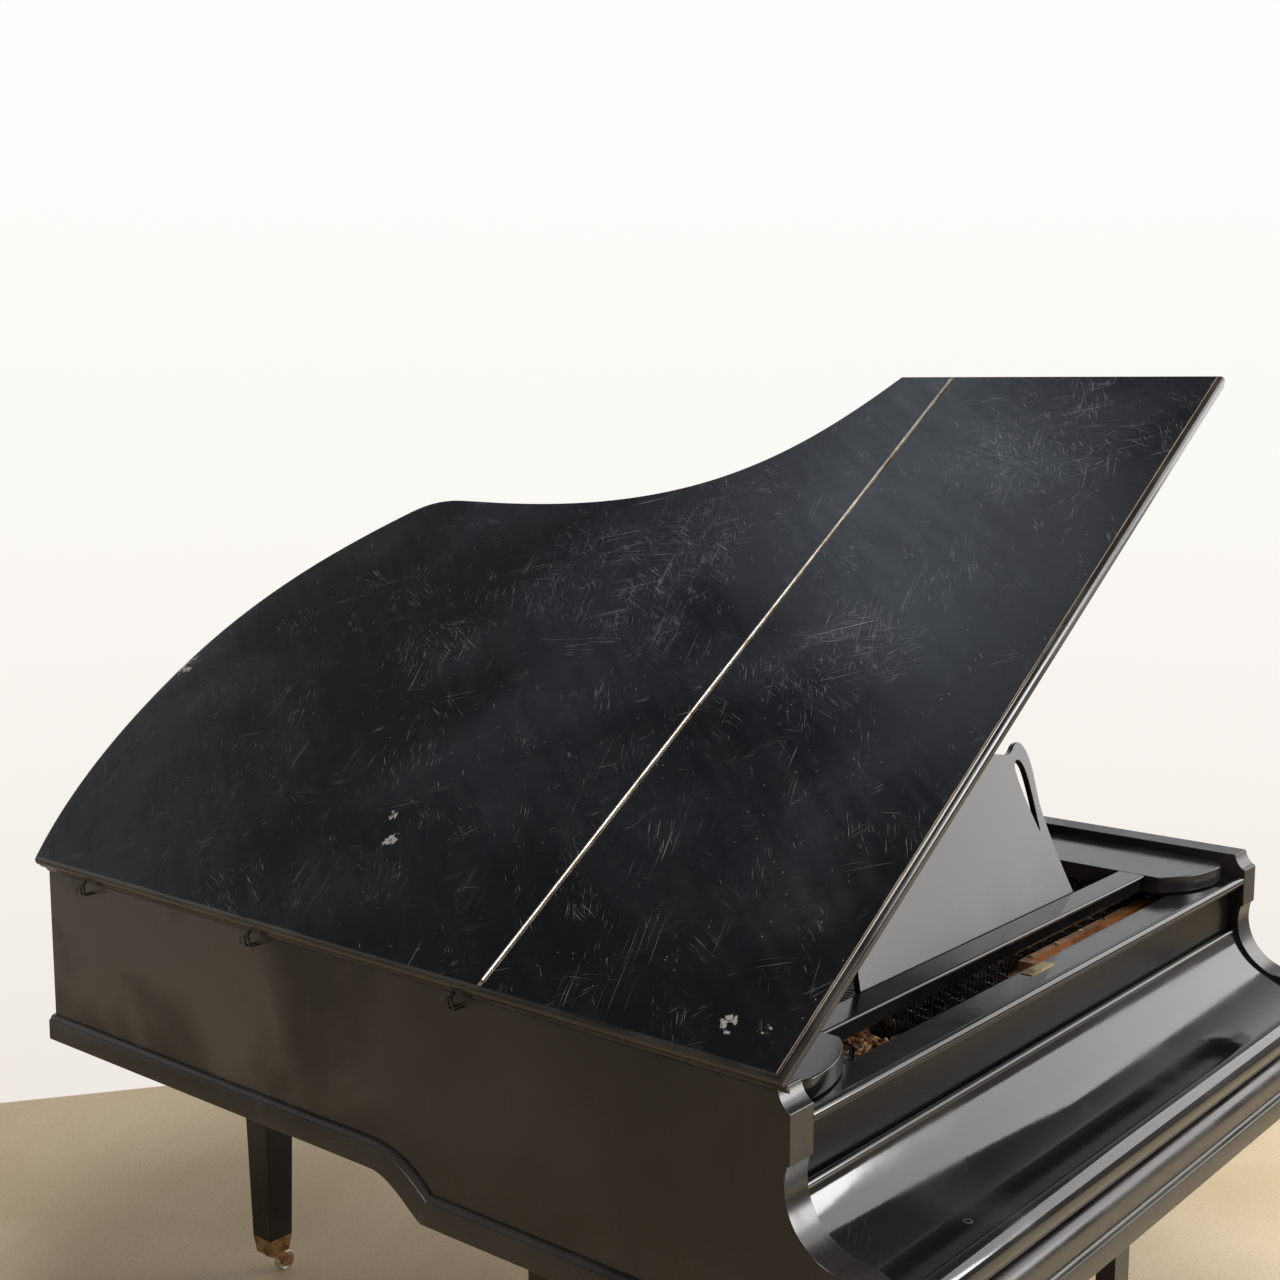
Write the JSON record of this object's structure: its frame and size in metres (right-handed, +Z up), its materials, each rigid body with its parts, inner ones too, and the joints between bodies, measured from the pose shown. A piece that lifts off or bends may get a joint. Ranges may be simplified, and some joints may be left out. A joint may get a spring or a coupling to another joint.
{
  "type": "grand piano",
  "caption": "Grand piano with its lid propped open, music desk, closed key cover, strung iron plate, three legs on casters and a pedal lyre.",
  "frame": {"origin": "on the floor, under the middle of the bounding box", "axes": "+Z up, +Y from the keyboard to the tail, +X from the bass side to the treble side"},
  "size_m": [1.5188, 1.888, 1.8342],
  "materials": {
    "black_lacquer": "black lacquer, polished and worn",
    "bed_timber": "stained underside",
    "timber": "bare beech and maple",
    "spruce": "varnished spruce",
    "ebonised": "black stain",
    "ivory": "ivory key covers",
    "bronzed_iron": "bronze paint",
    "copper_winding": "copper wound",
    "steel": "blued",
    "brass": "aged"
  },
  "bodies": {
    "case": {"rim": "black_lacquer", "inner_rim": "timber", "case_beams": "timber", "base_moulding": "black_lacquer", "keybed": "bed_timber", "key_slip": "black_lacquer", "key_blocks": "black_lacquer", "name_board": "black_lacquer", "label_plate": "brass", "soundboard": "spruce", "soundboard_ribs": "spruce", "bridges": "timber", "pin_block": "ebonised", "iron_plate": "bronzed_iron", "plate_bolts": "brass", "tuning_pins": "steel", "bass_strings": "copper_winding", "plain_strings": "steel", "lid_hinge_case_leaves": "brass", "lid_hinge_pins": "brass", "prop_bracket": "brass", "desk_runners": "black_lacquer", "leg_bass": "black_lacquer", "leg_treble": "black_lacquer", "leg_tail": "black_lacquer", "sabots": "brass", "lyre_frame": "black_lacquer", "lyre_braces": "brass"},
    "action": {"key_frame": "timber", "white_keys": "ivory", "black_keys": "ebonised", "action_frame": "timber", "wippens": "timber", "hammers": "timber"},
    "c_key": {"key_c": "ivory"},
    "c_sharp_key": {"key_c_sharp": "ebonised"},
    "d_key": {"key_d": "ivory"},
    "damper_rack": {"dampers": "ebonised"},
    "soft_pedal_lever": {"soft_pedal": "brass"},
    "sustain_pedal_lever": {"sustain_pedal": "brass"},
    "soft_rod": {"soft_pedal_rod": "brass"},
    "sustain_rod": {"sustain_pedal_rod": "brass"},
    "fallboard_leaf": {"fallboard": "black_lacquer"},
    "lid_leaf": {"lid": "black_lacquer", "flap_hinge_rear": "brass", "lid_hinge_lid_leaves": "brass", "prop_cup": "black_lacquer"},
    "flap_leaf": {"lid_flap": "black_lacquer", "flap_hinge_front": "brass", "lid_stop_strip": "black_lacquer"},
    "prop": {"prop_stick": "black_lacquer"},
    "desk": {"desk_frame": "black_lacquer"},
    "desk_leaf": {"desk_panel": "black_lacquer"},
    "caster_bass": {"caster_fork_bass": "brass"},
    "caster_treble": {"caster_fork_treble": "brass"},
    "caster_tail": {"caster_fork_tail": "brass"},
    "wheel_bass": {"caster_wheel_bass": "brass"},
    "wheel_treble": {"caster_wheel_treble": "brass"},
    "wheel_tail": {"caster_wheel_tail": "brass"}
  },
  "joints": [
    {"name": "lid_swing", "type": "hinge", "parent": "case", "child": "lid_leaf", "pos_m": [-0.7534, 0.236, 0.975], "axis": [0, -1, 0], "range_deg": [-33.64, 0]},
    {"name": "flap_fold", "type": "hinge", "parent": "lid_leaf", "child": "flap_leaf", "pos_m": [-0.1323, -0.2623, 1.41855], "axis": [-0.8325, 0, -0.554], "range_deg": [0, 178]},
    {"name": "prop_fold", "type": "hinge", "parent": "case", "child": "prop", "pos_m": [0.23517, 0.386, 0.897], "axis": [0.6727, 0.2155, 0.7079], "range_deg": [0, 61.12]},
    {"name": "desk_slide", "type": "slide", "parent": "case", "child": "desk", "axis": [0, 1, 0], "range_m": [0, 0.08]},
    {"name": "desk_panel_fold", "type": "hinge", "parent": "desk", "child": "desk_leaf", "pos_m": [0.0094, -0.5985, 0.95], "axis": [-1, 0, 0], "range_deg": [0, 72]},
    {"name": "fallboard_swing", "type": "hinge", "parent": "case", "child": "fallboard_leaf", "pos_m": [0.0094, -0.746, 0.833], "axis": [-1, 0, 0], "range_deg": [0, 100]},
    {"name": "soft_shift", "type": "slide", "parent": "case", "child": "action", "axis": [1, 0, 0], "range_m": [0, 0.003], "stiffness_N_per_m": 4000, "springref_m": -0.01},
    {"name": "soft_pedal_press", "type": "hinge", "parent": "case", "child": "soft_pedal_lever", "pos_m": [-0.0356, -0.764, 0.1215], "axis": [1, 0, 0], "range_deg": [0, 8], "stiffness_Nm_per_rad": 20, "springref_deg": -1.15},
    {"name": "soft_rod_lift", "type": "slide", "parent": "case", "child": "soft_rod", "axis": [0, 0, 1], "range_m": [0, 0.0045]},
    {"name": "sustain_pedal_press", "type": "hinge", "parent": "case", "child": "sustain_pedal_lever", "pos_m": [0.0544, -0.764, 0.1215], "axis": [1, 0, 0], "range_deg": [0, 8], "stiffness_Nm_per_rad": 60, "springref_deg": -2.86},
    {"name": "sustain_rod_lift", "type": "slide", "parent": "case", "child": "sustain_rod", "axis": [0, 0, 1], "range_m": [0, 0.0045]},
    {"name": "damper_lift", "type": "slide", "parent": "case", "child": "damper_rack", "axis": [0, 0, 1], "range_m": [0, 0.0045]},
    {"name": "c_key_press", "type": "hinge", "parent": "action", "child": "c_key", "pos_m": [0.0094, -0.689, 0.688], "axis": [1, 0, 0], "range_deg": [0, 2.6], "stiffness_Nm_per_rad": 4, "springref_deg": -2.86},
    {"name": "c_sharp_key_press", "type": "hinge", "parent": "action", "child": "c_sharp_key", "pos_m": [0.0094, -0.689, 0.688], "axis": [1, 0, 0], "range_deg": [0, 2.6], "stiffness_Nm_per_rad": 4, "springref_deg": -2.86},
    {"name": "d_key_press", "type": "hinge", "parent": "action", "child": "d_key", "pos_m": [0.0094, -0.689, 0.688], "axis": [1, 0, 0], "range_deg": [0, 2.6], "stiffness_Nm_per_rad": 4, "springref_deg": -2.86},
    {"name": "bass_caster_swivel", "type": "hinge", "parent": "case", "child": "caster_bass", "pos_m": [-0.6881, -0.366, 0.06], "axis": [0, 0, 1], "continuous": true},
    {"name": "bass_wheel_roll", "type": "hinge", "parent": "caster_bass", "child": "wheel_bass", "pos_m": [-0.6601, -0.366, 0.02], "axis": [0, 1, 0], "continuous": true},
    {"name": "treble_caster_swivel", "type": "hinge", "parent": "case", "child": "caster_treble", "pos_m": [0.7069, -0.366, 0.06], "axis": [0, 0, 1], "continuous": true},
    {"name": "treble_wheel_roll", "type": "hinge", "parent": "caster_treble", "child": "wheel_treble", "pos_m": [0.7349, -0.366, 0.02], "axis": [0, 1, 0], "continuous": true},
    {"name": "tail_caster_swivel", "type": "hinge", "parent": "case", "child": "caster_tail", "pos_m": [-0.2156, 0.878, 0.06], "axis": [0, 0, 1], "continuous": true},
    {"name": "tail_wheel_roll", "type": "hinge", "parent": "caster_tail", "child": "wheel_tail", "pos_m": [-0.1876, 0.878, 0.02], "axis": [0, 1, 0], "continuous": true}
  ],
  "couplings": [
    {"joint": "prop_fold", "follows": "lid_swing", "ratio": -1.817},
    {"joint": "desk_panel_fold", "follows": "lid_swing", "ratio": -2.1403},
    {"joint": "soft_pedal_press", "follows": "soft_shift", "rad_per_m": 46.541},
    {"joint": "soft_rod_lift", "follows": "soft_shift", "ratio": 1.4428},
    {"joint": "sustain_rod_lift", "follows": "sustain_pedal_press", "m_per_rad": 0.031},
    {"joint": "damper_lift", "follows": "sustain_pedal_press", "m_per_rad": 0.031}
  ]
}
